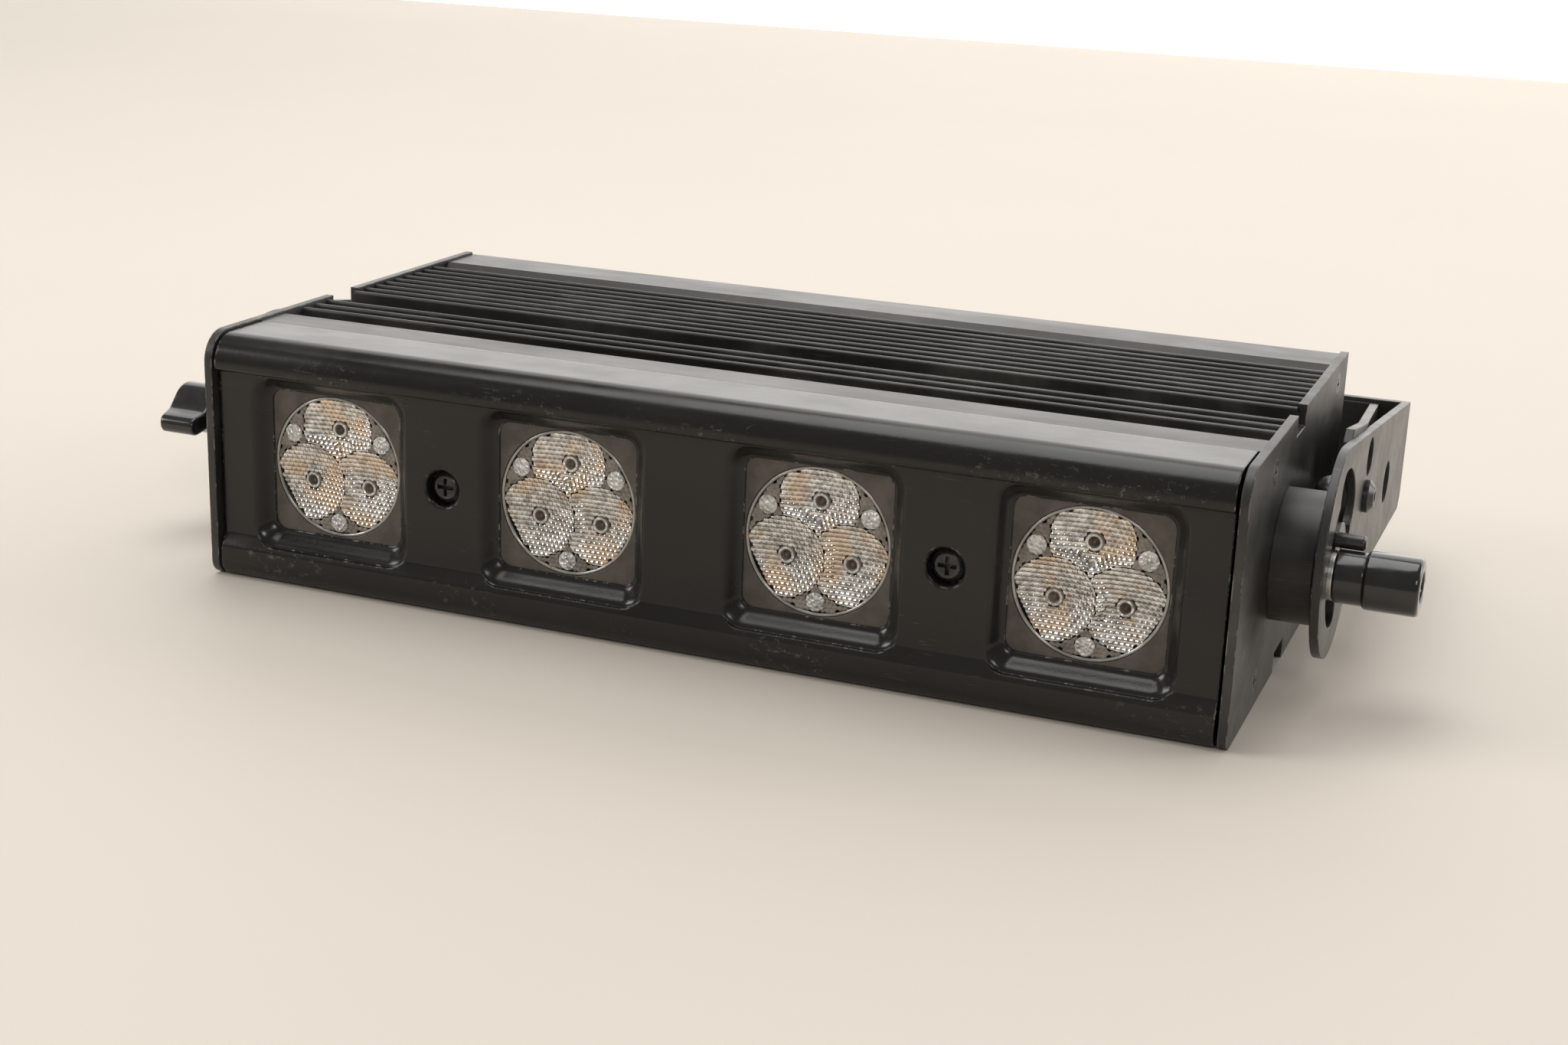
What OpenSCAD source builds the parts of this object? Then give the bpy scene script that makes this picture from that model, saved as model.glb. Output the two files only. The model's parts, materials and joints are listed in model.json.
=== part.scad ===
// Four-cell LED wash block with a swing yoke.
// Origin: middle of the footprint, on the surface the block stands on.
// X runs along the row of cells, -Y is the way the light leaves, +Z is up.

/* [Body] */
// Number of LED cells in the row
cells = 4; // [4:1:4]
// Distance between neighbouring cell centres
cell_pitch = 62.5; // [60:0.5:70]
// Height of the end plates
body_h = 61.5; // [61:0.5:66]
// Depth of the body, front edge to rear face
body_d = 127.5; // [125:0.5:135]
// Thickness of the end plates
plate_t = 2; // [1.5:0.5:3]
// How far the end plates stand above the bezel and the housing
plate_proud = 0.6; // [0.2:0.1:1]

/* [Heat sink] */
// Depth of the cooling grooves
fin_depth = 10; // [7:0.5:11]
// Thickness of one fin
fin_t = 1.4; // [1:0.1:2]
// Distance between fins
fin_pitch = 5.05; // [4.5:0.05:5.1]
// Fins in the rear bank
rear_fins = 9; // [6:1:9]
// Ridges between the two banks
front_ridges = 3; // [2:1:3]

/* [Front] */
// Side of the clear window in front of a cell
window = 35.5; // [30:0.5:38]
// Width of the bevel round a window
window_bevel = 4; // [2:0.5:5]
// How far the bezel face lies behind the two bumper bars
face_recess = 2; // [1:0.5:2]
// Depth of that bevel
bevel_depth = 3.6; // [1.5:0.1:3.8]
// Diameter of the optic in a cell
optic_d = 35; // [32:0.5:35]

/* [Yoke] */
// Tilt axis behind the front edge
pivot_back = 48; // [44:1:54]
// Height of the tilt axis
pivot_h = 31; // [29:0.5:33]
// Tilt axis to the inside of the crossbar
yoke_reach = 115.5; // [100:0.5:125]
// Thickness of the yoke plate
yoke_t = 2; // [2:0.5:3]
// Width of the crossbar
bar_w = 29; // [24:1:34]
// Gap between an end plate and an arm, filled by the pivot hub
arm_gap = 10.8; // [9:0.1:14]
// Hole for the clamp bolt
clamp_hole_d = 13; // [10:0.5:14]

/* [Knobs] */
// Reach of the knob's wing from its axis
wing_reach = 14.4; // [12:0.2:17]
// Thread diameter of the knob's stud
stud_d = 5; // [4:1:5]
// How far the right wing is turned from straight ahead, going down
right_wing_turn = 160; // [0:5:355]
// How far the left wing is turned from straight ahead, going down
left_wing_turn = 8; // [0:1:355]

/* [Hidden] */
$fn = 48;
eps = 0.01;

// Along X
body_w = cells * cell_pitch;
half_w = body_w / 2;
plate_out = half_w + plate_t;
arm_in = plate_out + arm_gap;
arm_out = arm_in + yoke_t;
hub_end = arm_in - 0.6;

// Along Y: every depth below is measured back from the front edge
total_d = pivot_back + yoke_reach + yoke_t;
front_y = -total_d / 2;
pivot_y = front_y + pivot_back;
bar_in = pivot_back + yoke_reach;

// Along Z
top_z = body_h - plate_proud;
mid_z = body_h / 2;
core_top = top_z - fin_depth;
core_bot = fin_depth;
core_mid = (core_top + core_bot) / 2;
wall = 3;

// Depths of the front stack
bezel_d = 21;
optic_front = 6;
bezel_end_gap = 0.9;
optic_t = 2.2;
web_front = 27;
web_t = 4;
board_t = 1.6;
land_end = 30;
ridge_start = 40.2;
ridge_pitch = 5.6;
fin_start = 64.8;
rear_land = 111.8;

// Screws that hold the end plates: depth, height
plate_screws = [[29, 6.5], [29, top_z - 6.5], [114, 5], [114, top_z - 5]];
screw_core_r = 1.6;
screw_boss_r = 3.4;
plate_screw_head_r = 3;

// Bezel screws and the posts they run through
bezel_screw_x = [-cell_pitch, cell_pitch];
bezel_screw_r = 2;
post_r = 6;
head_seat = 4;

// Screws that hold the LED board to the web
led_screw_x = [12 - half_w, 0, half_w - 12];
led_screw_z = [mid_z - 14, mid_z + 14];
led_screw_r = 1.25;
led_board_h = 40;

// Pivot: a pin in the hub carries the arm, the stud and the guide pin run in the arm's slot
hub_r = 15.2;
spigot_r = 9;
pivot_r = 4;
hub_screw_ring = 12;
hub_screw_r = 1.25;
slot_ring = 12;
slot_from = 20;
slot_to = 265;
stud_angle = 178;
shoulder_r = stud_d / 2 + 0.5;
slot_w = 2 * shoulder_r + 0.4;
guide_angle = 140;
guide_pin_r = 1.7;
pin_seat = 6;
ear_r = 24;
ear_up = 2;
running_gap = 0.05;
stud_back = pivot_back + slot_ring * cos(stud_angle);
stud_h = pivot_h + slot_ring * sin(stud_angle);
stud_socket_l = 9;

// Knob, measured out from the arm
knob_washer_t = 1.2;
knob_washer_r = 5.6;
knob_start = arm_out + knob_washer_t + 0.1;
collar_l = 6.3;
collar_r = 5.9;
knob_hub_r = 6.5;
wing_w = 12.1;
wing_tip_w = 10;
knob_hole_l = 13;

// Bolt in each arm: behind the axis, above it
brace_bolt = [35.5, 6];
brace_bolt_r = 2.5;
brace_t = 2;
// Holes in each arm: behind the axis, above it, diameter
arm_holes = [[38.5, 14.8, 9.5], [79, -1.7, 11]];

// Holes beside the clamp hole in the crossbar
side_hole_x = 50;
side_hole_r = 4.25;

// Rear panel
panel_t = 2;
panel_screw_x = [8 - half_w, 0, half_w - 8];
panel_screw_z = 17.5;
connector_x = [-45, 45];
connector_r = 11.5;
connector_bore_r = 9.2;
connector_bore_l = 14;
contact_ring = 5.6;
flange_size = [26, 31];
flange_t = 2;
flange_screw = [9.5, 12];
m3_hole_r = 1.6;
m3_r = 1.5;

// ---- helpers ----

// Extrudes a depth/height outline along X, centred on X = 0
module along_x(length) {
  translate([-length / 2, front_y, 0]) rotate([90, 0, 90]) linear_extrude(length) children();
}

// Extrudes a depth/height outline from x0 to x1
module slab_x(x0, x1) {
  translate([x0, front_y, 0]) rotate([90, 0, 90]) linear_extrude(x1 - x0) children();
}

// Puts children, drawn along +Z, at x and height z with their base at the given depth, running back
module rearward(x, depth, z) {
  translate([x, front_y + depth, z]) rotate([-90, 0, 0]) children();
}

// Puts children, drawn along +Z, on the given side at a depth and height, running outward
module outward(side, x, depth, z) {
  translate([side * x, front_y + depth, z]) rotate([0, side * 90, 0]) children();
}

module cross_slot(size, depth) {
  for (a = [0, 90]) rotate(a) cube([size, size / 4.5, depth * 2], center = true);
}

// Pan head at z = 0 and up, shank below
module pan_screw(head_r, head_h, shank_r, shank_l) {
  difference() {
    union() {
      cylinder(r = head_r, h = head_h * 0.6);
      translate([0, 0, head_h * 0.6]) cylinder(r1 = head_r, r2 = head_r * 0.72, h = head_h * 0.4);
    }
    translate([0, 0, head_h]) cross_slot(head_r * 1.1, head_h * 0.6);
  }
  translate([0, 0, -shank_l]) cylinder(r = shank_r, h = shank_l);
}

// Countersunk head whose flat top is at z = 0, shank below
module flat_screw(head_r, shank_r, shank_l) {
  head_h = head_r - shank_r;
  difference() {
    translate([0, 0, -head_h]) cylinder(r1 = shank_r, r2 = head_r, h = head_h);
    cross_slot(head_r, head_h * 0.6);
  }
  translate([0, 0, -head_h - shank_l]) cylinder(r = shank_r, h = shank_l);
}

// ---- housing ----

module fin(depth) {
  translate([depth - fin_t / 2, core_top - eps]) square([fin_t, fin_depth - fin_t / 2 + eps]);
  translate([depth, top_z - fin_t / 2]) circle(r = fin_t / 2);
}

// Outline of the upper heat sink, in depth and height
module heat_sink_section() {
  rear_chamfer = 1.5;
  difference() {
    union() {
      for (i = [0 : front_ridges - 1]) fin(ridge_start + i * ridge_pitch);
      for (i = [0 : rear_fins - 1]) fin(fin_start + i * fin_pitch);
      // front land, which carries on the line of the bezel
      translate([bezel_d, top_z - wall]) square([land_end - bezel_d, wall]);
      translate([web_front, core_top - eps]) square([web_t, fin_depth + eps]);
      // chamber wall, which stops in front of the rear panel
      translate([web_front, core_top - wall]) square([body_d - panel_t - web_front, wall]);
      // rear land with a broken front edge
      polygon([[rear_land, core_top - eps], [rear_land, top_z - rear_chamfer],
        [rear_land + rear_chamfer, top_z], [body_d, top_z], [body_d, core_top],
        [body_d - panel_t, core_top], [body_d - panel_t, core_top - eps]]);
      for (p = plate_screws) if (p[1] > mid_z) translate(p) circle(r = screw_boss_r);
    }
    for (p = plate_screws) translate(p) circle(r = screw_core_r);
  }
}

module heat_sink_upper() {
  color("#1a1a1b") along_x(body_w) heat_sink_section();
}

module heat_sink_lower() {
  color("#1a1a1b") along_x(body_w) translate([0, top_z]) mirror([0, 1]) heat_sink_section();
}

// Plate between the two heat sinks that carries the LED board
module housing_web() {
  web_h = core_top - core_bot - 2 * wall;
  color("#1a1a1b") difference() {
    translate([-half_w, front_y + web_front, core_bot + wall]) cube([body_w, web_t, web_h]);
    for (x = bezel_screw_x) rearward(x, web_front - 1, mid_z) cylinder(r = bezel_screw_r, h = web_t + 2);
    for (x = led_screw_x, z = led_screw_z) rearward(x, web_front - 1, z)
      cylinder(r = led_screw_r + running_gap, h = web_t + 2);
  }
}

// ---- front ----

module bezel_section() {
  upper_h = 8.5;
  upper_r = 7;
  lower_h = 8.2;
  lower_r = 4;
  ledge = 2.6;
  difference() {
    union() {
      // upper bumper bar
      translate([upper_r, top_z - upper_r]) circle(r = upper_r);
      translate([0, top_z - upper_h]) square([bezel_d, upper_h - upper_r]);
      translate([upper_r, top_z - upper_h]) square([bezel_d - upper_r, upper_h]);
      // lower bumper bar, with a sloping ledge on top
      translate([lower_r, lower_r]) circle(r = lower_r);
      translate([lower_r, 0]) square([bezel_d - lower_r, lower_r]);
      polygon([[0, lower_r], [0, lower_h], [face_recess, lower_h + ledge],
        [bezel_d, lower_h + ledge], [bezel_d, lower_r]]);
      // face
      translate([face_recess, lower_h]) square([optic_front - face_recess, top_z - 2 * lower_h]);
    }
    translate([optic_front, wall]) square([bezel_d, top_z - 2 * wall]);
  }
}

// Window opening with sides that flare to the front over the bevel's depth
module window_cut() {
  near = window / 2 + window_bevel;
  far = window / 2;
  a = face_recess;
  b = face_recess + bevel_depth;
  flare = (near - far) / (b - a);
  outline = [[a - 1, -near - flare], [b, -far], [optic_front + 1, -far],
    [optic_front + 1, far], [b, far], [a - 1, near + flare]];
  intersection() {
    translate([-near * 2, front_y, 0]) rotate([90, 0, 90]) linear_extrude(near * 4) polygon(outline);
    translate([0, front_y, -near * 2]) linear_extrude(near * 4)
      polygon([for (p = outline) [p[1], p[0]]]);
  }
}

module front_bezel() {
  counterbore_r = 4.4;
  color("#161617") difference() {
    union() {
      along_x(body_w - 2 * bezel_end_gap) bezel_section();
      for (x = bezel_screw_x) rearward(x, optic_front - 1, mid_z)
        cylinder(r = post_r, h = web_front - board_t - optic_front + 1);
    }
    for (i = [0 : cells - 1]) translate([(i - (cells - 1) / 2) * cell_pitch, 0, mid_z]) window_cut();
    for (x = bezel_screw_x) {
      rearward(x, face_recess - 1, mid_z) cylinder(r = counterbore_r, h = head_seat + 1);
      rearward(x, face_recess, mid_z) cylinder(r = bezel_screw_r + 0.2, h = web_front);
    }
  }
}

// Soft cord that seals the joint between bezel and housing from inside
module bezel_gasket() {
  cord = 2;
  size = [body_w - 4, top_z - 2 * wall];
  from = bezel_d - 3;
  color("#2b2b2b") rearward(0, from, top_z / 2)
    linear_extrude(web_front - board_t - from) difference() {
      square(size, center = true);
      square([size[0] - 2 * cord, size[1] - 2 * cord], center = true);
    }
}

module bezel_screws() {
  color("#0d0d0e") for (x = bezel_screw_x)
    translate([x, front_y + face_recess + head_seat, mid_z]) rotate([90, 0, 0])
      pan_screw(3.9, 2.4, bezel_screw_r, web_front + web_t - face_recess - head_seat);
}

module lens_carrier() {
  carrier_t = 2.5;
  carrier_h = 50;
  color("#2d2926") rearward(0, optic_front, mid_z) difference() {
    linear_extrude(carrier_t) square([body_w - 6, carrier_h], center = true);
    for (i = [0 : cells - 1]) translate([(i - (cells - 1) / 2) * cell_pitch, 0, -1])
      cylinder(r = optic_d / 2 + 0.1, h = carrier_t + 2, $fn = 96);
    for (x = bezel_screw_x) translate([x, 0, -1]) cylinder(r = post_r + 0.2, h = carrier_t + 2);
  }
}

// Three collimators in a cell, one below and two above its centre
collimator_r = 7.8;
collimator_ring = 9.14;
collimator_at = [-90, 30, 150];
emitter_h = 1.7;

module lens(i) {
  cone_l = web_front - board_t - emitter_h - optic_front - optic_t;
  cone_end_r = 4.2;
  well_r = 1.95;
  well_l = 4;
  color([0.85, 0.86, 0.84, 0.5])
    rearward((i - (cells - 1) / 2) * cell_pitch, optic_front, mid_z) difference() {
      union() {
        cylinder(r = optic_d / 2, h = optic_t, $fn = 96);
        for (a = collimator_at) rotate(a) translate([collimator_ring, 0, optic_t - eps])
          cylinder(r1 = collimator_r, r2 = cone_end_r, h = cone_l + eps);
      }
      for (a = collimator_at) rotate(a) translate([collimator_ring, 0, -1])
        cylinder(r = well_r, h = well_l + 1);
    }
}

module led_board() {
  color("#d9d9d2") rearward(0, web_front - board_t, mid_z) difference() {
    linear_extrude(board_t) square([body_w - 10, led_board_h], center = true);
    for (x = bezel_screw_x) translate([x, 0, -1]) cylinder(r = bezel_screw_r + 0.3, h = board_t + 2);
    for (x = led_screw_x, z = led_screw_z) translate([x, mid_z - z, -1])
      cylinder(r = led_screw_r + 0.1, h = board_t + 2);
  }
}

module led_emitters() {
  base_h = 0.7;
  base_w = 5;
  dome_r = 1.6;
  color("#c9b84a") for (i = [0 : cells - 1])
    rearward((i - (cells - 1) / 2) * cell_pitch, web_front - board_t - emitter_h, mid_z)
      for (a = collimator_at) rotate(a) translate([collimator_ring, 0, 0]) {
        cylinder(r = dome_r, h = emitter_h - base_h);
        translate([-base_w / 2, -base_w / 2, emitter_h - base_h]) cube([base_w, base_w, base_h]);
      }
}

module led_board_screws() {
  color("#8c8c90") for (x = led_screw_x, z = led_screw_z)
    translate([x, front_y + web_front - board_t, z]) rotate([90, 0, 0])
      pan_screw(2.4, 1.4, led_screw_r, board_t + web_t - 0.5);
}

// ---- ends ----

// Outline of an end plate, in depth and height
module end_outline() {
  top_r = 7.5;
  low_r = 4;
  notch_from = 54;
  notch_w = 11.5;
  notch_h = 5;
  difference() {
    union() {
      translate([top_r, 0]) square([body_d - top_r, body_h]);
      translate([0, low_r]) square([body_d, body_h - low_r - top_r]);
      translate([top_r, body_h - top_r]) circle(r = top_r);
      translate([low_r, low_r]) circle(r = low_r);
      translate([low_r, 0]) square([top_r, low_r]);
    }
    for (z = [-1, body_h - notch_h]) translate([notch_from, z]) square([notch_w, notch_h + 1]);
  }
}

// Puts children at the three hub screws, the same way up on both sides
module hub_screw_places(side) {
  for (a = [0, 120, 240]) rotate(side > 0 ? a + 180 : a) translate([hub_screw_ring, 0, 0]) children();
}

module end_plate(side) {
  sink = 0.4;
  color("#202021") difference() {
    if (side > 0) slab_x(half_w, plate_out) end_outline();
    else slab_x(-plate_out, -half_w) end_outline();
    for (p = plate_screws) outward(side, half_w - 1, p[0], p[1]) {
      cylinder(r = screw_core_r, h = plate_t + 2);
      translate([0, 0, plate_t - sink])
        cylinder(r1 = screw_core_r, r2 = plate_screw_head_r, h = plate_screw_head_r - screw_core_r);
      translate([0, 0, plate_t + 1]) cylinder(r = plate_screw_head_r, h = 1);
    }
    outward(side, half_w - 1, pivot_back, pivot_h) {
      cylinder(r = spigot_r, h = plate_t + 2);
      hub_screw_places(side) cylinder(r = hub_screw_r + 0.25, h = plate_t + 2);
    }
  }
}

module end_plate_screws() {
  color("#0f0f10") for (side = [-1, 1], p = plate_screws)
    outward(side, plate_out, p[0], p[1]) flat_screw(plate_screw_head_r, screw_core_r, 8);
}

// Spacer on an end plate, with seats for two pins and a threaded socket for the stud
module pivot_hub(side) {
  edge = 0.8;
  hub_l = hub_end - half_w;
  color("#232324") outward(side, half_w, pivot_back, pivot_h) difference() {
    union() {
      cylinder(r = spigot_r, h = plate_t + 1);
      translate([0, 0, plate_t]) cylinder(r = hub_r, h = hub_l - plate_t - edge);
      translate([0, 0, hub_l - edge]) cylinder(r1 = hub_r, r2 = hub_r - edge, h = edge);
    }
    translate([0, 0, hub_l - pin_seat]) cylinder(r = pivot_r, h = pin_seat + 1);
    rotate(side * stud_angle) translate([0, slot_ring, hub_l - stud_socket_l])
      cylinder(r = stud_d / 2 + running_gap, h = stud_socket_l + 1);
    hub_screw_places(side) translate([0, 0, -1]) cylinder(r = hub_screw_r, h = plate_t + 6);
    rotate(side * guide_angle) translate([0, slot_ring, hub_l - pin_seat])
      cylinder(r = guide_pin_r, h = pin_seat + 1);
  }
}

module hub_screws() {
  color("#8c8c90") for (side = [-1, 1]) outward(side, half_w, pivot_back, pivot_h)
    hub_screw_places(side) mirror([0, 0, 1]) pan_screw(2.5, 1.5, hub_screw_r, plate_t + 4.5);
}

// Pins the arms turn on, pressed into the hubs
module pivot_pins() {
  edge = 0.3;
  pin_l = pin_seat + arm_out - 0.2 - hub_end;
  color("#2a2a2b") for (side = [-1, 1]) outward(side, hub_end - pin_seat, pivot_back, pivot_h) {
    cylinder(r = pivot_r, h = pin_l - edge);
    translate([0, 0, pin_l - edge]) cylinder(r1 = pivot_r, r2 = pivot_r - edge, h = edge);
  }
}

// Pins that run in the arms' slots beside the studs and guide the ears
module guide_pins() {
  tip = 0.5;
  pin_l = pin_seat + knob_start + collar_l - 0.8 - hub_end;
  color("#101011") for (side = [-1, 1])
    outward(side, hub_end - pin_seat, pivot_back, pivot_h)
      rotate(side * guide_angle) translate([0, slot_ring, 0]) {
        cylinder(r = guide_pin_r, h = pin_l - tip);
        translate([0, 0, pin_l - tip]) cylinder(r1 = guide_pin_r, r2 = guide_pin_r - tip, h = tip);
      }
}

// ---- rear ----

module rear_panel() {
  color("#1c1c1d") rearward(0, body_d - panel_t, core_mid) difference() {
    linear_extrude(panel_t) square([body_w - 0.4, core_top - core_bot - 0.2], center = true);
    for (x = connector_x) translate([x, 0, -1]) {
      cylinder(r = connector_r, h = panel_t + 2);
      for (s = [-1, 1]) translate([s * flange_screw[0], s * flange_screw[1], 0])
        cylinder(r = m3_hole_r, h = panel_t + 2);
    }
    for (x = panel_screw_x, z = [-1, 1]) translate([x, z * panel_screw_z, -1])
      cylinder(r = m3_r, h = panel_t + 2);
  }
}

module rear_panel_screws() {
  color("#0f0f10") for (x = panel_screw_x, z = [-1, 1])
    rearward(x, body_d, core_mid + z * panel_screw_z) pan_screw(2.8, 1.8, m3_r, panel_t);
}

// Flanged shell of a round panel connector; the plug goes in from behind
module connector_shell() {
  shell_l = 20;
  difference() {
    union() {
      linear_extrude(flange_t) difference() {
        square(flange_size, center = true);
        for (s = [-1, 1]) translate(s * flange_screw) circle(r = m3_hole_r);
      }
      translate([0, 0, -shell_l]) cylinder(r = connector_r - 0.1, h = shell_l + 1);
    }
    translate([0, 0, -connector_bore_l]) cylinder(r = connector_bore_r, h = shell_l);
  }
}

// Puts children at the four contacts of a connector, on the floor of its bore
module contacts(x) {
  rearward(x, body_d - connector_bore_l, core_mid) for (a = [45, 135, 225, 315])
    rotate(a) translate([contact_ring, 0, 0]) children();
}

module input_connector() {
  color("#303032") rearward(connector_x[0], body_d, core_mid) connector_shell();
}

module input_pins() {
  color("#c9c9c4") contacts(connector_x[0]) cylinder(r = 1.1, h = connector_bore_l - 3, $fn = 24);
}

module output_connector() {
  color("#303032") rearward(connector_x[1], body_d, core_mid) connector_shell();
}

module output_insert() {
  insert_l = connector_bore_l - 0.6;
  color("#151515") difference() {
    rearward(connector_x[1], body_d - connector_bore_l, core_mid)
      cylinder(r = connector_bore_r - 1, h = insert_l);
    contacts(connector_x[1]) translate([0, 0, 2.5]) cylinder(r = 1.3, h = insert_l, $fn = 24);
  }
}

module connector_screws() {
  color("#0f0f10") for (x = connector_x, s = [-1, 1])
    rearward(x + s * flange_screw[0], body_d + flange_t, core_mid - s * flange_screw[1])
      pan_screw(2.8, 1.8, m3_r, flange_t + panel_t);
}

// ---- electronics in the rear chamber ----

chamber_floor = core_bot + wall;
standoff_h = 5;
control_z = chamber_floor + standoff_h;
control_size = [190, 66];
control_from = 40;
control_y = front_y + control_from;
control_top = control_z + board_t;
standoff_xy = [for (x = [-88, 88], y = [5, 61]) [x, y]];
part_x = [for (i = [-1.5 : 1.5]) i * 30 - 15];

module control_board() {
  color("#1f5a34") difference() {
    translate([-control_size[0] / 2, control_y, control_z]) cube([control_size[0], control_size[1], board_t]);
    for (p = standoff_xy) translate([p[0], control_y + p[1], control_z - 1])
      cylinder(r = m3_hole_r, h = board_t + 2);
  }
}

module board_standoffs() {
  color("#b9a55a") for (p = standoff_xy) translate([p[0], control_y + p[1], chamber_floor]) difference() {
    cylinder(r = 3, h = standoff_h, $fn = 6);
    translate([0, 0, 1]) cylinder(r = m3_r, h = standoff_h);
  }
}

module board_screws() {
  color("#8c8c90") for (p = standoff_xy) translate([p[0], control_y + p[1], control_top])
    pan_screw(2.8, 1.8, m3_r, standoff_h - 1);
}

module inductors() {
  core_r = 5.5;
  winding_r = 3.5;
  color("#6b4a2a") for (x = part_x) translate([x, control_y + 22, control_top + winding_r])
    rotate_extrude() translate([core_r, 0]) circle(r = winding_r, $fn = 24);
}

module capacitors() {
  color("#23272e") for (x = part_x) translate([x, control_y + 44, control_top]) cylinder(r = 5, h = 16);
}

module board_header() {
  size = [10, 14, 9];
  rim = 1.2;
  color("#e6e2d6") translate([-size[0] / 2 - 73, control_y + 48, control_top]) difference() {
    cube(size);
    translate([rim, rim, 2]) cube([size[0] - 2 * rim, size[1] - 2 * rim, size[2]]);
  }
}

// ---- yoke: everything here turns about the pivot ----

// A point in the arm's plane, given behind and above the tilt axis
function arm_pt(p) = [pivot_back + p[0], pivot_h + p[1]];

module ring_slot(radius, from, to, width) {
  difference() {
    circle(r = radius + width / 2, $fn = 96);
    circle(r = radius - width / 2, $fn = 96);
    // the sector that stays solid, from the slot's end round to its start
    polygon(concat([[0, 0]], [for (a = [to : 5 : from + 360]) 3 * radius * [cos(a), sin(a)]]));
  }
  for (a = [from, to]) translate(radius * [cos(a), sin(a)]) circle(r = width / 2);
}

// Top of the arm at the crossbar, above the axis
bar_top = 10.8;

module arm_outline() {
  rear = yoke_reach + yoke_t;
  corner = 3;
  mouth_ring = 15.5;
  mouth_w = 11;
  difference() {
    union() {
      translate(arm_pt([0, ear_up])) circle(r = ear_r, $fn = 96);
      polygon([for (p = [[0, ear_up], [3.7, ear_up + ear_r - 0.3], [rear, bar_top],
        [rear, bar_top - bar_w + corner], [rear - corner, bar_top - bar_w], [15, -15.7], [8, -20]]) arm_pt(p)]);
    }
    translate(arm_pt([0, 0])) {
      ring_slot(slot_ring, slot_from, slot_to, slot_w);
      // mouth of the slot, wide enough to pass the head of a guide
      ring_slot(mouth_ring, 38, 92, mouth_w);
      circle(r = pivot_r + running_gap);
    }
    translate(arm_pt(brace_bolt)) circle(r = brace_bolt_r + running_gap);
    for (h = arm_holes) translate(arm_pt([h[0], h[1]])) circle(r = h[2] / 2);
  }
}

module yoke() {
  bar_low = pivot_h + bar_top - bar_w;
  bar_mid = bar_low + bar_w / 2;
  color("#1b1b1c") {
    slab_x(arm_in, arm_out) arm_outline();
    slab_x(-arm_out, -arm_in) arm_outline();
    difference() {
      translate([-arm_in - eps, front_y + bar_in, bar_low + 1])
        cube([2 * (arm_in + eps), yoke_t, bar_w - 1]);
      rearward(0, bar_in - 1, bar_mid) cylinder(r = clamp_hole_d / 2, h = yoke_t + 2);
      for (x = [-side_hole_x, side_hole_x]) rearward(x, bar_in - 1, bar_mid)
        cylinder(r = side_hole_r, h = yoke_t + 2);
    }
  }
}

// Bent stiffener inside an arm: a pad against the arm, then a diagonal to the crossbar
module brace(side) {
  pad_from = 17.5;
  pad_to = 42;
  foot_in = 6;
  foot_l = 8;
  low = -14.5;
  tab_top = 25.9;
  bar_end = 9.7;
  chamfer = 6;
  clip = 3;
  inner = arm_in - brace_t;
  slope = (bar_end - tab_top) / (yoke_reach - pad_from);
  color("#1d1d1e") mirror([side < 0 ? 1 : 0, 0, 0]) difference() {
    intersection() {
      // plan of the strip
      translate([0, front_y + pivot_back, 0]) linear_extrude(body_h)
        polygon([[arm_in, pad_from], [inner, pad_from], [inner, pad_to],
          [inner - foot_in, yoke_reach - brace_t], [inner - foot_in - foot_l, yoke_reach - brace_t],
          [inner - foot_in - foot_l, yoke_reach], [arm_in - foot_in, yoke_reach],
          [arm_in, pad_to + 1]]);
      // side view of the strip
      slab_x(arm_in - 30, arm_in + 1)
        polygon([for (p = [[pad_from, low + chamfer], [pad_from, tab_top - clip],
          [pad_from + clip, tab_top + slope * clip], [yoke_reach, bar_end],
          [yoke_reach, low], [pad_from + chamfer, low]]) arm_pt(p)]);
    }
    outward(1, arm_in - 5, pivot_back + brace_bolt[0], pivot_h + brace_bolt[1])
      cylinder(r = brace_bolt_r + running_gap, h = 6);
    outward(1, arm_in - 5, pivot_back + arm_holes[0][0], pivot_h + arm_holes[0][1])
      cylinder(r = arm_holes[0][2] / 2, h = 6);
  }
}

module brace_bolts() {
  head_r = 3.9;
  rim_h = 1.2;
  head_h = 2.4;
  shank_l = yoke_t + brace_t + 4.4;
  color("#0d0d0e") for (side = [-1, 1])
    outward(side, arm_out, pivot_back + brace_bolt[0], pivot_h + brace_bolt[1]) {
      difference() {
        union() {
          cylinder(r = head_r, h = rim_h);
          translate([0, 0, rim_h]) cylinder(r1 = head_r, r2 = head_r * 0.6, h = head_h - rim_h);
        }
        translate([0, 0, 1]) cylinder(r = 1.5, h = head_h, $fn = 6);
      }
      translate([0, 0, -shank_l]) cylinder(r = brace_bolt_r, h = shank_l);
    }
}

// Cap nuts on the inside of the braces
module brace_nuts() {
  hex_h = 3.8;
  dome_r = 3.8;
  color("#c8c8c6") for (side = [-1, 1])
    outward(side, arm_in - brace_t - hex_h, pivot_back + brace_bolt[0], pivot_h + brace_bolt[1])
      difference() {
        union() {
          cylinder(r = 4.5, h = hex_h, $fn = 6);
          rotate_extrude() intersection() {
            circle(r = dome_r, $fn = 64);
            translate([0, -dome_r]) square([dome_r, dome_r + 1]);
          }
        }
        translate([0, 0, -0.8]) cylinder(r = brace_bolt_r, h = hex_h + 2);
      }
}

module friction_washers() {
  washer_t = 0.5;
  color("#3a3632") for (side = [-1, 1])
    outward(side, arm_in - washer_t, pivot_back, pivot_h) difference() {
      cylinder(r = 8.6, h = washer_t);
      translate([0, 0, -1]) cylinder(r = pivot_r + running_gap, h = 3);
    }
}

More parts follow.
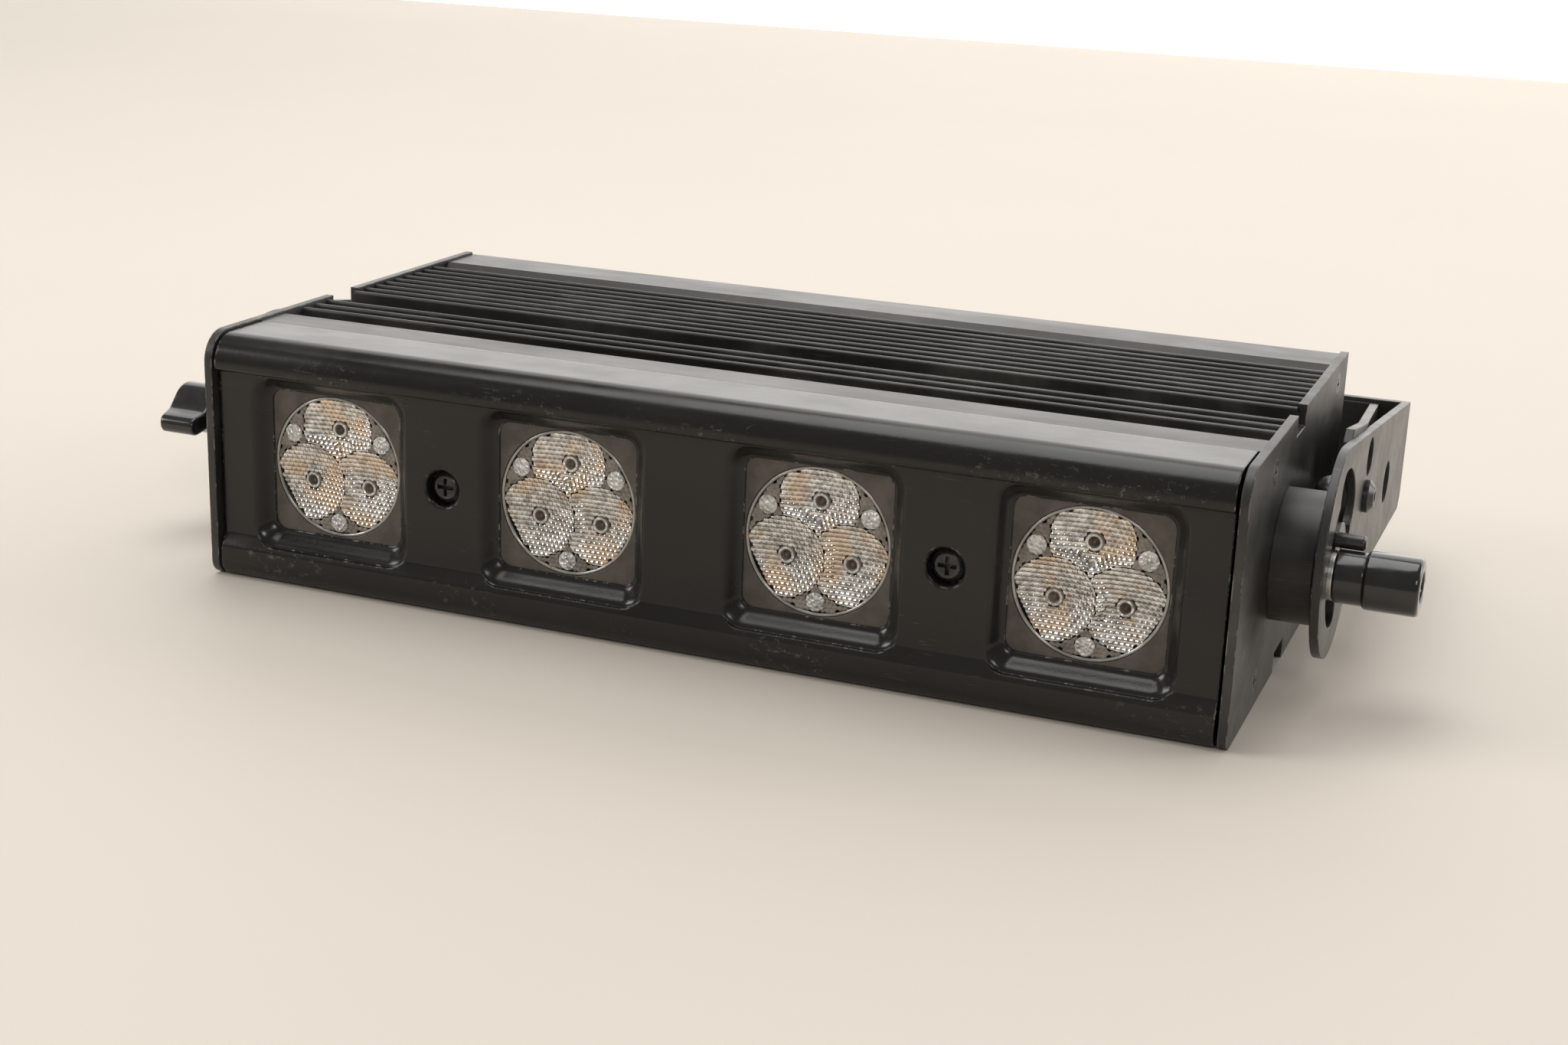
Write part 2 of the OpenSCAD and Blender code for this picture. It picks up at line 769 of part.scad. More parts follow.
// Washers that bridge the slot under the knobs
module knob_washers() {
  color("#8e8e90") for (side = [-1, 1])
    outward(side, arm_out, stud_back, stud_h) difference() {
      cylinder(r = knob_washer_r, h = knob_washer_t);
      translate([0, 0, -1]) cylinder(r = shoulder_r + running_gap, h = 4);
    }
}

// ---- knobs ----

// Collar, hub and one wing, turned downward from straight ahead by the given angle
module knob(side, turn) {
  wing_t = 4.8;
  blend = 4;
  dish_r = 3.6;
  dish = 2;
  reach = wing_reach - wing_t / 2;
  color("#101011") translate([side * knob_start, front_y + stud_back, stud_h]) rotate([turn, 0, 0])
    rotate([90, 0, side > 0 ? 90 : -90]) mirror([side > 0 ? 0 : 1, 0, 0]) difference() {
      union() {
        cylinder(r = collar_r, h = collar_l + eps);
        intersection() {
          translate([0, 0, collar_l]) linear_extrude(wing_w) offset(r = -blend, $fn = 32)
            offset(r = blend, $fn = 32) {
              circle(r = knob_hub_r, $fn = 48);
              translate([-reach, 0]) circle(r = wing_t / 2, $fn = 24);
              translate([-reach, -wing_t / 2]) square([reach, wing_t]);
            }
          // plan of the wing: its outer edge falls away to the tip
          translate([0, 2 * wing_reach, collar_l]) rotate([90, 0, 0]) linear_extrude(4 * wing_reach)
            polygon([[-wing_reach - 1, 0], [-wing_reach - 1, wing_tip_w], [-knob_hub_r, wing_w],
              [knob_hub_r + 1, wing_w], [knob_hub_r + 1, 0]]);
        }
      }
      translate([0, 0, -1]) cylinder(r = shoulder_r, h = knob_hole_l);
      translate([0, 0, collar_l + wing_w - dish]) cylinder(r = dish_r, h = dish + 1);
    }
}

// Thread in the hub's socket, then a shoulder through the slot into the knob
module stud(side) {
  socket_gap = 0.8;
  thread_l = stud_socket_l - socket_gap + 0.1;
  color("#8e8e90") outward(side, hub_end - stud_socket_l + socket_gap, stud_back, stud_h) {
    cylinder(r = stud_d / 2, h = thread_l);
    translate([0, 0, thread_l]) cylinder(r = shoulder_r, h = knob_start + knob_hole_l - 1.1 - hub_end);
  }
}

heat_sink_upper();
heat_sink_lower();
housing_web();
front_bezel();
bezel_gasket();
bezel_screws();
lens_carrier();
for (i = [0 : cells - 1]) lens(i);
led_board();
led_emitters();
led_board_screws();
end_plate(-1);  // end_plate_left
end_plate(1);  // end_plate_right
end_plate_screws();
pivot_hub(-1);  // pivot_hub_left
pivot_hub(1);  // pivot_hub_right
hub_screws();
pivot_pins();
guide_pins();
rear_panel();
rear_panel_screws();
input_connector();
input_pins();
output_connector();
output_insert();
connector_screws();
control_board();
board_standoffs();
board_screws();
inductors();
capacitors();
board_header();
yoke();
brace(-1);  // brace_left
brace(1);  // brace_right
brace_bolts();
brace_nuts();
friction_washers();
knob_washers();
knob(-1, left_wing_turn);  // knob_left
stud(-1);  // stud_left
knob(1, right_wing_turn);  // knob_right
stud(1);  // stud_right
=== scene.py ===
import json
import math

import bmesh
import bpy
from mathutils import Matrix, Vector


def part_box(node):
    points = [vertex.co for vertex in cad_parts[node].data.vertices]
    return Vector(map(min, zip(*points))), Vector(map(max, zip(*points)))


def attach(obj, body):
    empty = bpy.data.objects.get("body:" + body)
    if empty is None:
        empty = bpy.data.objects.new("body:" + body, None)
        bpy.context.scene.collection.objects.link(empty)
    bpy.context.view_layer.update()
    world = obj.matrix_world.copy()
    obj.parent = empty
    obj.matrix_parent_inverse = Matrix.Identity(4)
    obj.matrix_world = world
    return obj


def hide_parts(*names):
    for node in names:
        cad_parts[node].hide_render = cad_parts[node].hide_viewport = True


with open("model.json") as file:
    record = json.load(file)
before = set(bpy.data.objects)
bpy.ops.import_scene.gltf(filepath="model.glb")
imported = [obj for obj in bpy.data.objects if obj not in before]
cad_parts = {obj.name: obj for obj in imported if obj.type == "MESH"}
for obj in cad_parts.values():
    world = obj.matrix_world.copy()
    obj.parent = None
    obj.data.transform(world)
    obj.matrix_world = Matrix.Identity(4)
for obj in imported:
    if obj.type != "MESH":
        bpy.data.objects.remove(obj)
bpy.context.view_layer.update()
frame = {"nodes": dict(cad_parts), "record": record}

MM = 0.001
MICRON = 0.001 * MM

# ---------------------------------------------------------------- sizes read from the frame
PLATE_FRONT_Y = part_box("end_plate_right")[0].y
BEZEL_LO, BEZEL_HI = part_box("front_bezel")
LENS_BOXES = [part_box("lens_%d" % i) for i in range(1, 5)]

FRONT_Y = BEZEL_LO.y
TOP_Z = BEZEL_HI.z
MID_Z = (LENS_BOXES[0][0].z + LENS_BOXES[0][1].z) / 2
CELL_X = [(lo.x + hi.x) / 2 for lo, hi in LENS_BOXES]
OPTIC_R = (LENS_BOXES[0][1].x - LENS_BOXES[0][0].x) / 2
OPTIC_FRONT = LENS_BOXES[0][0].y - FRONT_Y
OPTIC_Y = FRONT_Y + OPTIC_FRONT

# ---------------------------------------------------------------- the bezel's own sizes
BEZEL_DEPTH = 21 * MM
BEZEL_WALL = 3 * MM
FACE_DEPTH = 2 * MM
FACE_FILLET = 0.6 * MM
UPPER_R = 7 * MM
UPPER_H = 8.5 * MM
LOWER_R = 4 * MM
LOWER_H = 8.2 * MM
LIP_R = 1.2 * MM
# the slope from the face down to the lower bar: (depth, height above the bar's top), in millimetres
LEDGE = [(2.0, 3.4), (1.75, 2.5), (0.75, 0.65), (0.28, 0.05), (0.05, -0.6)]

WINDOW_HALF = 17.75 * MM
WINDOW_CORNER = 3 * MM
FLARE = 4 * MM
FLARE_DEPTH = 3.6 * MM
FLARE_CORNER = 5.5 * MM
FLARE_STEPS = 12
CUT_SPARE = 1 * MM

SCREW_X = CELL_X[1] - CELL_X[0]
COUNTERBORE_R = 4.4 * MM
COUNTERBORE_RIM = 0.5 * MM
SCREW_COLLAR_R = 6 * MM
SCREW_COLLAR_LAP = 0.4 * MM


# ---------------------------------------------------------------- node helpers
# every material under the name asked for, since Blender adds a number to a name that the frame has taken
finishes = {}


class Finish:
    """One procedural material, built node by node round a Principled shader."""

    def __init__(self, name, roughness, metallic=0.0, specular=0.5, coat=0.0, coat_rough=0.1):
        self.name = name
        self.mat = bpy.data.materials.new(name)
        self.mat.use_nodes = True
        self.tree = self.mat.node_tree
        self.shader = self.tree.nodes["Principled BSDF"]
        self.shader.inputs["Roughness"].default_value = roughness
        self.shader.inputs["Metallic"].default_value = metallic
        self.shader.inputs["Specular IOR Level"].default_value = specular
        self.shader.inputs["Coat Weight"].default_value = coat
        self.shader.inputs["Coat Roughness"].default_value = coat_rough
        self.coords = self.tree.nodes.new("ShaderNodeTexCoord").outputs["Object"]

    def put(self, socket, value):
        """Links another node's output to a socket, or sets the socket's own value."""
        if isinstance(value, bpy.types.NodeSocket):
            self.tree.links.new(value, socket)
        elif isinstance(value, (tuple, list)) and socket.type == "RGBA":
            socket.default_value = (*value, 1)
        else:
            socket.default_value = value

    def place(self, scale=(1, 1, 1), turn=(0, 0, 0), shift=(0, 0, 0)):
        node = self.tree.nodes.new("ShaderNodeMapping")
        self.put(node.inputs["Vector"], self.coords)
        node.inputs["Scale"].default_value = scale
        node.inputs["Rotation"].default_value = [math.radians(a) for a in turn]
        node.inputs["Location"].default_value = shift
        return node.outputs["Vector"]

    def noise(self, size, detail, rough=0.6, stretch=(1, 1, 1), turn=(0, 0, 0), shift=(0, 0, 0)):
        """Noise whose features are about size metres across."""
        node = self.tree.nodes.new("ShaderNodeTexNoise")
        self.put(node.inputs["Vector"], self.place(stretch, turn, shift))
        node.inputs["Scale"].default_value = 1 / size
        node.inputs["Detail"].default_value = detail
        node.inputs["Roughness"].default_value = rough
        return node.outputs["Fac"]

    def cells(self, size):
        """Distance to the nearest of scattered points about size metres apart."""
        node = self.tree.nodes.new("ShaderNodeTexVoronoi")
        self.put(node.inputs["Vector"], self.place())
        node.inputs["Scale"].default_value = 1 / size
        return node.outputs["Distance"]

    def calc(self, kind, a, b):
        node = self.tree.nodes.new("ShaderNodeMath")
        node.operation = kind
        self.put(node.inputs[0], a)
        self.put(node.inputs[1], b)
        return node.outputs[0]

    def both(self, a, b):
        return self.calc("MULTIPLY", a, b)

    def either(self, a, b):
        return self.calc("MAXIMUM", a, b)

    def band(self, value, low, high, out_low=0.0, out_high=1.0):
        """Maps low..high onto out_low..out_high with soft ends."""
        node = self.tree.nodes.new("ShaderNodeMapRange")
        node.interpolation_type = "SMOOTHSTEP"
        self.put(node.inputs["Value"], value)
        node.inputs["From Min"].default_value = low
        node.inputs["From Max"].default_value = high
        node.inputs["To Min"].default_value = out_low
        node.inputs["To Max"].default_value = out_high
        return node.outputs["Result"]

    def blend(self, share, first, second):
        node = self.tree.nodes.new("ShaderNodeMix")
        node.data_type = "RGBA"
        self.put(node.inputs["Factor"], share)
        self.put(node.inputs["A"], first)
        self.put(node.inputs["B"], second)
        return node.outputs["Result"]

    def edges(self, radius):
        """(rounded normal, mask that is 1 on edges)"""
        bevel = self.tree.nodes.new("ShaderNodeBevel")
        bevel.samples = 6
        bevel.inputs["Radius"].default_value = radius
        geometry = self.tree.nodes.new("ShaderNodeNewGeometry")
        dot = self.tree.nodes.new("ShaderNodeVectorMath")
        dot.operation = "DOT_PRODUCT"
        self.put(dot.inputs[0], bevel.outputs["Normal"])
        self.put(dot.inputs[1], geometry.outputs["Normal"])
        bend = self.calc("SUBTRACT", 1.0, dot.outputs["Value"])
        return bevel.outputs["Normal"], self.band(bend, 0.01, 0.12)

    def bump(self, height, depth, normal=None):
        node = self.tree.nodes.new("ShaderNodeBump")
        node.inputs["Distance"].default_value = depth
        self.put(node.inputs["Height"], height)
        if normal is not None:
            self.put(node.inputs["Normal"], normal)
        return node.outputs["Normal"]

    def scratches(self, length, turn, cover, shift=(0, 0, 0)):
        """Short straight streaks, 1 on a streak, kept only in scattered patches."""
        streak = self.noise(SCRATCH_WIDTH, 1, 0.4, (SCRATCH_WIDTH / length, 1, 1), turn, shift)
        thin = self.band(streak, 0.66, 0.73)
        patch = self.band(self.noise(20 * MM, 3, shift=shift), cover, cover + 0.12)
        return self.both(thin, patch)

    def done(self, colour, roughness=None, normal=None):
        self.put(self.shader.inputs["Base Color"], colour)
        if roughness is not None:
            self.put(self.shader.inputs["Roughness"], roughness)
        if normal is not None:
            self.put(self.shader.inputs["Normal"], normal)
        finishes[self.name] = self.mat


# ---------------------------------------------------------------- kinds of finish
SCRATCH_WIDTH = 0.4 * MM
SCRATCH_GREY = (0.34, 0.33, 0.30)
RUBBED_EDGE = (0.30, 0.28, 0.25)
DUST_FILM = (0.30, 0.28, 0.25)
DUST_SPECK = (0.62, 0.60, 0.56)
ALONG_BODY = (0.25, 1, 1)
BRUSH_DEPTH = 10 * MICRON


def painted(name, dark, light, rough, rough_swing, grain, grain_depth,
            edge_cover, scratch, edge_r=0.5 * MM, dust=0.0):
    """Black paint or anodising with mottling, fine grain, rubbed edges, scratches and dust."""
    f = Finish(name, rough)
    mottle = f.band(f.noise(22 * MM, 4, stretch=ALONG_BODY), 0.3, 0.72)
    colour = f.blend(mottle, dark, light)
    rounded, edge = f.edges(edge_r)
    chips = f.band(f.noise(3.5 * MM, 4, 0.7), edge_cover, edge_cover + 0.1)
    worn = f.both(edge, chips)
    lines = f.scratches(9 * MM, (0, 12, 16), 0.56)
    cross = f.scratches(7 * MM, (15, 38, -24), 0.58, (0.4, 0.1, 0.2))
    marks = f.both(f.either(lines, cross), scratch)
    colour = f.blend(marks, colour, SCRATCH_GREY)
    colour = f.blend(worn, colour, RUBBED_EDGE)
    if dust:
        settled = f.band(f.noise(30 * MM, 5, 0.65, shift=(0.2, 0.5, 0.1)), 0.42, 0.75)
        colour = f.blend(f.both(settled, dust), colour, DUST_FILM)
        speck = f.band(f.cells(9 * MM), 0.022, 0.035, 1.0, 0.0)
        few = f.band(f.noise(20 * MM, 1, 0.5, shift=(0.7, 0.2, 0.9)), 0.6, 0.64)
        colour = f.blend(f.both(speck, few), colour, DUST_SPECK)
    smear = f.noise(16 * MM, 5, 0.65, ALONG_BODY, shift=(0.1, 0.2, 0.3))
    rough_map = f.band(smear, 0.25, 0.75, rough - rough_swing, rough + rough_swing)
    rough_map = f.calc("ADD", rough_map, f.both(f.either(marks, worn), 0.2))
    f.done(colour, rough_map, f.bump(f.noise(grain, 2), grain_depth, rounded))


def metal(name, dark, light, rough, grain, stretch=(1, 1, 1), metallic=1.0):
    """Metal with brush marks, and a painted highlight that lightens every edge."""
    f = Finish(name, rough, metallic)
    colour = f.blend(f.band(f.noise(4 * MM, 4), 0.3, 0.7), dark, light)
    rounded, edge = f.edges(0.3 * MM)
    # painted highlight: every edge lightened evenly, standing in for light caught on the edges
    painted_edge_glint = [min(1.0, c * 1.5) for c in light]
    colour = f.blend(f.both(edge, 0.5), colour, painted_edge_glint)
    brushed = f.noise(grain, 3, stretch=stretch)
    rough_map = f.band(brushed, 0.2, 0.8, rough - 0.08, rough + 0.1)
    f.done(colour, rough_map, f.bump(brushed, BRUSH_DEPTH, rounded))


def moulded(name, dark, light, rough, grain=0.5 * MM, depth=10 * MICRON, coat=0.0, patch=6 * MM):
    """Moulded plastic, rubber or lacquer: cloudy colour, uneven gloss and a painted highlight that makes the
    edges slightly paler.
    """
    f = Finish(name, rough, coat=coat, coat_rough=0.08)
    colour = f.blend(f.band(f.noise(patch, 4), 0.3, 0.7), dark, light)
    rounded, edge = f.edges(0.4 * MM)
    # painted highlight: every edge made slightly paler, standing in for light caught on the edges
    painted_edge_sheen = [min(1.0, c * 1.7 + 0.02) for c in light]
    colour = f.blend(f.both(edge, 0.25), colour, painted_edge_sheen)
    swirl = f.noise(9 * MM, 4, shift=(0.3, 0.3, 0.3))
    rough_map = f.band(swirl, 0.25, 0.75, rough - 0.06, rough + 0.08)
    f.done(colour, rough_map, f.bump(f.noise(grain, 3), depth, rounded))


def frosted(name, dark, light, rough, size, depth, metallic=0.0, coat=0.0):
    """A surface of small cells: frosting, phosphor, woven fibre or wound wire."""
    f = Finish(name, rough, metallic, 0.6, coat, 0.05)
    colour = f.blend(f.band(f.noise(size * 3, 3), 0.3, 0.7), dark, light)
    rough_map = f.band(f.noise(size * 2, 2, 0.5), 0.2, 0.8, rough - 0.05, rough + 0.08)
    f.done(colour, rough_map, f.bump(f.cells(size), depth))


# ---------------------------------------------------------------- finishes of their own
def bezel_finish():
    """Gloss black bumper moulding: scuffed and rubbed along its bars, cleaner on the face."""
    f = Finish("bezel_black", 0.32, specular=0.42)
    mottle = f.band(f.noise(30 * MM, 4, stretch=(0.3, 1, 1)), 0.3, 0.7)
    colour = f.blend(mottle, (0.0075, 0.007, 0.006), (0.014, 0.013, 0.011))
    rounded, edge = f.edges(0.6 * MM)
    chips = f.band(f.noise(3 * MM, 5, 0.72), 0.53, 0.62)
    split = f.tree.nodes.new("ShaderNodeSeparateXYZ")
    f.put(split.inputs[0], f.coords)
    # 1 on the foremost line of the two bumper bars, where the block is knocked, and 0 on the face
    proud = f.band(split.outputs["Y"], FRONT_Y, FRONT_Y + 1.6 * MM, 1.0, 0.0)
    rub = f.band(f.noise(1.6 * MM, 6, 0.8, (0.7, 1, 1), shift=(0.5, 0.1, 0.2)), 0.56, 0.62)
    knocked = f.band(f.noise(35 * MM, 2, 0.5, shift=(0.9, 0.3, 0.6)), 0.46, 0.62)
    rubbed = f.both(f.both(proud, rub), knocked)
    lines = f.scratches(9 * MM, (0, 9, 0), 0.58)
    cross = f.scratches(6 * MM, (0, 52, 0), 0.58, (0.4, 0.1, 0.2))
    marks = f.both(f.either(lines, cross), 0.16)
    worn = f.either(f.both(edge, chips), f.both(rubbed, 0.20))
    colour = f.blend(marks, colour, (0.30, 0.29, 0.27))
    colour = f.blend(worn, colour, (0.36, 0.34, 0.31))
    smear = f.noise(15 * MM, 4, 0.55, (0.6, 1, 1), shift=(0.1, 0.2, 0.3))
    rough_map = f.band(smear, 0.25, 0.75, 0.15, 0.27)
    rough_map = f.calc("ADD", rough_map, f.both(f.either(marks, worn), 0.3))
    fine = f.noise(0.6 * MM, 3)
    dents = f.both(f.noise(6 * MM, 3, 0.5), 1.5)
    normal = f.bump(f.calc("ADD", fine, dents), 20 * MICRON, rounded)
    f.done(colour, rough_map, normal)


def mirror_finish():
    """Silvered cup behind the pillows, with a painted warm reflection in places."""
    f = Finish("optic_mirror", 0.1, 1.0)
    tarnish = f.band(f.noise(1.8 * MM, 3), 0.32, 0.68)
    silver = f.blend(tarnish, (0.40, 0.38, 0.35), (0.95, 0.93, 0.90))
    # painted reflection: a warm tint in patches, standing in for warm surroundings seen in the cups
    painted_warm_reflection = f.band(f.noise(9 * MM, 2, 0.5, shift=(0.2, 0.6, 0.4)), 0.46, 0.66, 0.0, 0.6)
    colour = f.blend(painted_warm_reflection, silver, (0.80, 0.58, 0.38))
    fine = f.noise(0.6 * MM, 2)
    f.done(colour, f.band(fine, 0.2, 0.8, 0.05, 0.15), f.bump(fine, 5 * MICRON))


# ---------------------------------------------------------------- the record's material slots
painted("housing_black", (0.013, 0.012, 0.011), (0.027, 0.025, 0.022), 0.36, 0.07, 0.7 * MM, 6 * MICRON,
        edge_cover=0.60, scratch=0.18, edge_r=0.3 * MM, dust=0.16)
bezel_finish()
painted("plate_black", (0.018, 0.0175, 0.016), (0.038, 0.036, 0.032), 0.40, 0.08, 0.8 * MM, 10 * MICRON,
        edge_cover=0.50, scratch=0.3, dust=0.08)
painted("hub_black", (0.024, 0.0225, 0.020), (0.044, 0.041, 0.036), 0.40, 0.05, 0.5 * MM, 20 * MICRON,
        edge_cover=0.58, scratch=0.12)
painted("yoke_black", (0.020, 0.019, 0.0175), (0.038, 0.036, 0.032), 0.36, 0.07, 0.8 * MM, 12 * MICRON,
        edge_cover=0.55, scratch=0.25, dust=0.06)

metal("screw_black", (0.030, 0.030, 0.031), (0.075, 0.073, 0.070), 0.28, 0.5 * MM, metallic=0.6)
metal("bright_steel", (0.48, 0.48, 0.46), (0.66, 0.65, 0.63), 0.26, 0.4 * MM, (1, 6, 1))
metal("connector_metal", (0.045, 0.045, 0.047), (0.09, 0.09, 0.09), 0.34, 0.5 * MM, metallic=0.8)
metal("contact_metal", (0.62, 0.61, 0.57), (0.80, 0.78, 0.72), 0.18, 0.4 * MM, (1, 1, 5))
metal("standoff_brass", (0.50, 0.37, 0.13), (0.68, 0.54, 0.24), 0.28, 0.4 * MM, (1, 1, 4))

moulded("carrier_plastic", (0.060, 0.048, 0.040), (0.105, 0.088, 0.074), 0.34, 1.2 * MM, 15 * MICRON)
moulded("gasket_rubber", (0.016, 0.016, 0.016), (0.030, 0.030, 0.030), 0.8, 0.4 * MM, 20 * MICRON)
moulded("board_white", (0.66, 0.66, 0.63), (0.78, 0.78, 0.75), 0.45, 0.6 * MM, 6 * MICRON)
moulded("optic_clear", (0.45, 0.45, 0.43), (0.62, 0.62, 0.60), 0.08, 0.8 * MM, coat=1.0)
moulded("insert_plastic", (0.014, 0.014, 0.014), (0.026, 0.026, 0.026), 0.42)
moulded("board_green", (0.016, 0.085, 0.035), (0.03, 0.14, 0.06), 0.32, 1.0 * MM, 8 * MICRON, coat=0.4)
moulded("capacitor_sleeve", (0.02, 0.022, 0.03), (0.035, 0.04, 0.05), 0.25, coat=0.4)
moulded("header_nylon", (0.70, 0.68, 0.60), (0.80, 0.78, 0.70), 0.45)
moulded("knob_plastic", (0.010, 0.010, 0.010), (0.018, 0.018, 0.018), 0.16, 0.6 * MM, 4 * MICRON,
        coat=0.3)

frosted("emitter_yellow", (0.66, 0.54, 0.16), (0.80, 0.70, 0.28), 0.3, 0.3 * MM, 10 * MICRON, coat=0.6)
frosted("inductor_copper", (0.28, 0.10, 0.03), (0.46, 0.20, 0.07), 0.32, 0.7 * MM, 100 * MICRON, 0.5)
frosted("washer_fibre", (0.07, 0.055, 0.045), (0.11, 0.09, 0.075), 0.7, 0.4 * MM, 20 * MICRON)

for part in frame["record"]["subparts"]:
    node_mesh = frame["nodes"][part["node"]].data
    node_mesh.materials.clear()
    node_mesh.materials.append(finishes[part["material_slot"]])


# ---------------------------------------------------------------- mesh helpers
def add_object(name, bm):
    """Turns bm into an object of the scene."""
    mesh = bpy.data.meshes.new(name)
    bm.to_mesh(mesh)
    bm.free()
    obj = bpy.data.objects.new(name, mesh)
    bpy.context.scene.collection.objects.link(obj)
    return obj


def add_piece(name, bm, names, body, node, sharp):
    """Makes a shown piece with smooth faces, creased where they turn by more than sharp degrees."""
    for face in bm.faces:
        face.smooth = True
    for edge in bm.edges:
        edge.smooth = not (len(edge.link_faces) == 2 and edge.calc_face_angle(0.0) > math.radians(sharp))
    piece = add_object(name, bm)
    for finish in names:
        piece.data.materials.append(finishes[finish])
    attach(piece, body)
    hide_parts(node)
    return piece


def keep_flats(piece):
    """Shades the large faces flat, so that the rounded edges between them look crisp."""
    weighted = piece.modifiers.new("flat faces", "WEIGHTED_NORMAL")
    weighted.keep_sharp = True
    weighted.weight = 100


def arc(centre, radius, start, end, steps):
    """Points on an arc, angles in degrees."""
    angles = [math.radians(start + (end - start) * i / steps) for i in range(steps + 1)]
    return [(centre[0] + radius * math.cos(a), centre[1] + radius * math.sin(a)) for a in angles]


def loft(bm, loops, caps=True, bands=None):
    """Joins loops of equal length with quads; bands names the material of each band of quads."""
    rings = [[bm.verts.new(point) for point in loop] for loop in loops]
    bands = bands or [0] * (len(rings) - 1)
    for a, b, finish in zip(rings, rings[1:], bands):
        for i in range(len(a)):
            j = (i + 1) % len(a)
            bm.faces.new((a[i], a[j], b[j], b[i])).material_index = finish
    if caps:
        bm.faces.new(rings[0][::-1])
        bm.faces.new(rings[-1])
    return rings


def rounded_square(cx, half, radius, y):
    """A square loop with round corners at the windows' height, facing along Y."""
    points = []
    for k, (sx, sz) in enumerate(((1, 1), (-1, 1), (-1, -1), (1, -1))):
        centre = (cx + sx * (half - radius), MID_Z + sz * (half - radius))
        points += arc(centre, radius, 90 * k, 90 * k + 90, 6)
    return [(x, y, z) for x, z in points]


def round_loop(cx, cz, radius, y, steps=40):
    angles = [2 * math.pi * i / steps for i in range(steps)]
    return [(cx + radius * math.cos(a), y, cz + radius * math.sin(a)) for a in angles]


# ---------------------------------------------------------------- front bezel
def bezel_profile():
    """Closed outline in (depth from the front edge, height)."""
    under = TOP_Z - UPPER_H
    outline = [(BEZEL_DEPTH, TOP_Z)]
    outline += arc((UPPER_R, TOP_Z - UPPER_R), UPPER_R, 90, 180, 14)
    outline += arc((LIP_R, under + LIP_R), LIP_R, 180, 270, 6)
    outline += arc((FACE_DEPTH - FACE_FILLET, under - FACE_FILLET), FACE_FILLET, 90, 0, 4)
    outline += [(depth * MM, LOWER_H + height * MM) for depth, height in LEDGE]
    outline += arc((LOWER_R, LOWER_R), LOWER_R, 180, 270, 10)
    outline += [(BEZEL_DEPTH, 0.0), (BEZEL_DEPTH, BEZEL_WALL), (OPTIC_FRONT, BEZEL_WALL),
                (OPTIC_FRONT, TOP_Z - BEZEL_WALL), (BEZEL_DEPTH, TOP_Z - BEZEL_WALL)]
    return outline


def window_loops(cx):
    """A flare that rolls in from the face and out to the window, then runs straight through."""
    loops = [rounded_square(cx, WINDOW_HALF + FLARE, FLARE_CORNER, FRONT_Y - FACE_DEPTH)]
    for i in range(FLARE_STEPS + 1):
        t = i / FLARE_STEPS
        corner = FLARE_CORNER + (WINDOW_CORNER - FLARE_CORNER) * t
        depth = FACE_DEPTH + FLARE_DEPTH * t * t * (3 - 2 * t)
        loops.append(rounded_square(cx, WINDOW_HALF + FLARE * (1 - t), corner, FRONT_Y + depth))
    loops.append(rounded_square(cx, WINDOW_HALF, WINDOW_CORNER, OPTIC_Y + CUT_SPARE))
    return loops


def counterbore_loops(x):
    """The round seat of one bezel screw, with a small chamfer where it meets the face."""
    rim_r = COUNTERBORE_R + COUNTERBORE_RIM
    sizes = [(rim_r + FACE_DEPTH, FRONT_Y), (rim_r, FRONT_Y + FACE_DEPTH),
             (COUNTERBORE_R, FRONT_Y + FACE_DEPTH + COUNTERBORE_RIM), (COUNTERBORE_R, OPTIC_Y + CUT_SPARE)]
    return [round_loop(x, MID_Z, radius, y) for radius, y in sizes]


def solid(name, loops):
    """A closed solid for the boolean cuts, lofted through loops."""
    bm = bmesh.new()
    loft(bm, loops)
    bmesh.ops.recalc_face_normals(bm, faces=bm.faces)
    return add_object(name, bm)


def build_bezel():
    outline = bezel_profile()
    ends = [[(x, FRONT_Y + depth, z) for depth, z in outline] for x in (BEZEL_LO.x, BEZEL_HI.x)]
    blank = solid("bezel_blank", ends)
    screws = (-SCREW_X, SCREW_X)
    tools = [solid("cut_window_%d" % i, window_loops(x)) for i, x in enumerate(CELL_X)]
    tools += [solid("cut_screw_%d" % i, counterbore_loops(x)) for i, x in enumerate(screws)]
    for tool in tools:
        cut = blank.modifiers.new(tool.name, "BOOLEAN")
        cut.operation = "DIFFERENCE"
        cut.solver = "EXACT"
        cut.object = tool
    bpy.context.view_layer.update()
    shaped = bpy.data.meshes.new_from_object(blank.evaluated_get(bpy.context.evaluated_depsgraph_get()))
    bm = bmesh.new()
    bm.from_mesh(shaped)
    bmesh.ops.remove_doubles(bm, verts=bm.verts, dist=10 * MICRON)
    for obj in [blank, *tools]:
        bpy.data.objects.remove(obj)
    # the collars behind the face that the two screws pass through
    for x in screws:
        loft(bm, [round_loop(x, MID_Z, SCREW_COLLAR_R, y) for y in (OPTIC_Y - SCREW_COLLAR_LAP, BEZEL_HI.y)])
    bezel = add_piece("bezel", bm, ["bezel_black"], "body", "front_bezel", 30)
    keep_flats(bezel)


build_bezel()


# ---------------------------------------------------------------- knobs
COLLAR_R = 5.9 * MM
COLLAR_L = 6.3 * MM
COLLAR_ROUND = 0.4 * MM
COLLAR_SEAM = 0.15 * MM
HUB_R = 6.5 * MM
WING_L = 12.1 * MM
WING_HALF = 2.4 * MM
WING_REACH = 14.4 * MM
WING_BLEND = 3 * MM
WING_SLANT = 2.1 / 8.9
DISH_R = 3.6 * MM
DISH_ROUND = 0.4 * MM
DISH_DEPTH = 2 * MM
DISH_TAPER = 0.93
KNOB_END = COLLAR_L + WING_L
# the rounded edge of hub and wing: (along the axis, pulled in), in millimetres
KNOB_ROUNDING = [(0.0, 0.95), (0.1, 0.55), (0.3, 0.26), (0.62, 0.06), (1.0, 0.0)]
